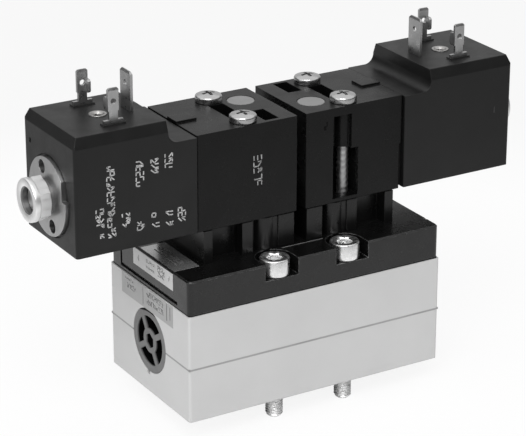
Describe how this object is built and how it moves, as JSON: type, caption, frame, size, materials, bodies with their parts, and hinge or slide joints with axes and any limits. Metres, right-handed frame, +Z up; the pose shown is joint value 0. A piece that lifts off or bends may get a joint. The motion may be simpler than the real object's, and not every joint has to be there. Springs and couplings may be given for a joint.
{
  "type": "directional control valve",
  "caption": "Base-mounted pneumatic spool valve: split aluminium body with ports below, black cover, ribbed adapter and a solenoid pilot with flat terminals at each end.",
  "frame": {"origin": "middle of the aluminium body's underside, which is also the middle of the four mounting screws, on the plane that seats on the manifold", "axes": "+X along the body, towards the right-hand solenoid; +Y across it, away from the picture's front side; +Z up, away from the manifold"},
  "size_m": [0.1548, 0.046, 0.1036],
  "materials": {
    "cast_aluminium": "die-cast, finely blasted",
    "turned_aluminium": "turned, hard anodised",
    "cover_plastic": "moulded glass-filled nylon, matt",
    "block_plastic": "moulded glass-filled nylon, matt",
    "coil_plastic": "moulded winding cover, fine grain",
    "cap_plastic": "moulded, satin",
    "piston_plastic": "moulded acetal, black",
    "button_plastic": "moulded, satin",
    "seal_rubber": "nitrile rubber",
    "plated_steel": "bright zinc plated",
    "plate_steel": "pressed, bright plated",
    "turned_steel": "turned magnetic stainless steel",
    "spring_steel": "drawn spring wire",
    "nozzle_brass": "turned",
    "insert_brass": "turned, nickel plated",
    "terminal_metal": "tinned strip"
  },
  "bodies": {
    "body": {"lower_housing": "cast_aluminium", "upper_housing": "cast_aluminium", "housing_gasket": "seal_rubber", "top_cover": "cover_plastic", "cover_gasket": "seal_rubber", "port_gasket": "seal_rubber", "mounting_screws": "plated_steel", "body_screws": "plated_steel", "spool_sleeve": "turned_aluminium", "sleeve_seals": "seal_rubber", "vent_cap_left": "cap_plastic", "vent_cap_right": "cap_plastic", "pilot_adapter": "cover_plastic", "adapter_seals": "seal_rubber", "adapter_screws": "plated_steel", "pilot_block_left": "block_plastic", "pilot_block_right": "block_plastic", "pilot_gasket_left": "seal_rubber", "pilot_gasket_right": "seal_rubber", "pilot_screws_left": "plated_steel", "pilot_screws_right": "plated_steel", "override_spring_left": "spring_steel", "override_spring_right": "spring_steel", "nozzle_left": "nozzle_brass", "nozzle_right": "nozzle_brass", "armature_tube_left": "turned_steel", "armature_tube_right": "turned_steel", "plunger_spring_left": "spring_steel", "plunger_spring_right": "spring_steel", "coil_seal_left": "seal_rubber", "coil_seal_right": "seal_rubber", "coil_left": "coil_plastic", "coil_right": "coil_plastic", "line_blades_left": "terminal_metal", "line_blades_right": "terminal_metal", "earth_blade_left": "terminal_metal", "earth_blade_right": "terminal_metal", "coil_insert_left": "insert_brass", "coil_insert_right": "insert_brass", "coil_plate_left": "plate_steel", "coil_plate_right": "plate_steel", "coil_nut_left": "plated_steel", "coil_nut_right": "plated_steel"},
    "spool": {"main_spool": "turned_aluminium", "piston_left": "piston_plastic", "piston_right": "piston_plastic", "piston_seals": "seal_rubber"},
    "plunger_left": {"plunger_left": "turned_steel", "plunger_seal_left": "seal_rubber"},
    "button_left": {"override_button_left": "button_plastic"},
    "plunger_right": {"plunger_right": "turned_steel", "plunger_seal_right": "seal_rubber"},
    "button_right": {"override_button_right": "button_plastic"}
  },
  "joints": [
    {"name": "spool_slide", "type": "slide", "parent": "body", "child": "spool", "axis": [1, 0, 0], "range_m": [0, 0.005]},
    {"name": "plunger_lift_left", "type": "slide", "parent": "body", "child": "plunger_left", "axis": [-1, 0, 0], "range_m": [0, 0.0012], "stiffness_N_per_m": 400, "deforming": ["plunger_spring_left"]},
    {"name": "override_press_left", "type": "slide", "parent": "body", "child": "button_left", "axis": [0, 0, -1], "range_m": [0, 0.0015], "stiffness_N_per_m": 900, "deforming": ["override_spring_left"]},
    {"name": "plunger_lift_right", "type": "slide", "parent": "body", "child": "plunger_right", "axis": [1, 0, 0], "range_m": [0, 0.0012], "stiffness_N_per_m": 400, "deforming": ["plunger_spring_right"]},
    {"name": "override_press_right", "type": "slide", "parent": "body", "child": "button_right", "axis": [0, 0, -1], "range_m": [0, 0.0015], "stiffness_N_per_m": 900, "deforming": ["override_spring_right"]}
  ]
}
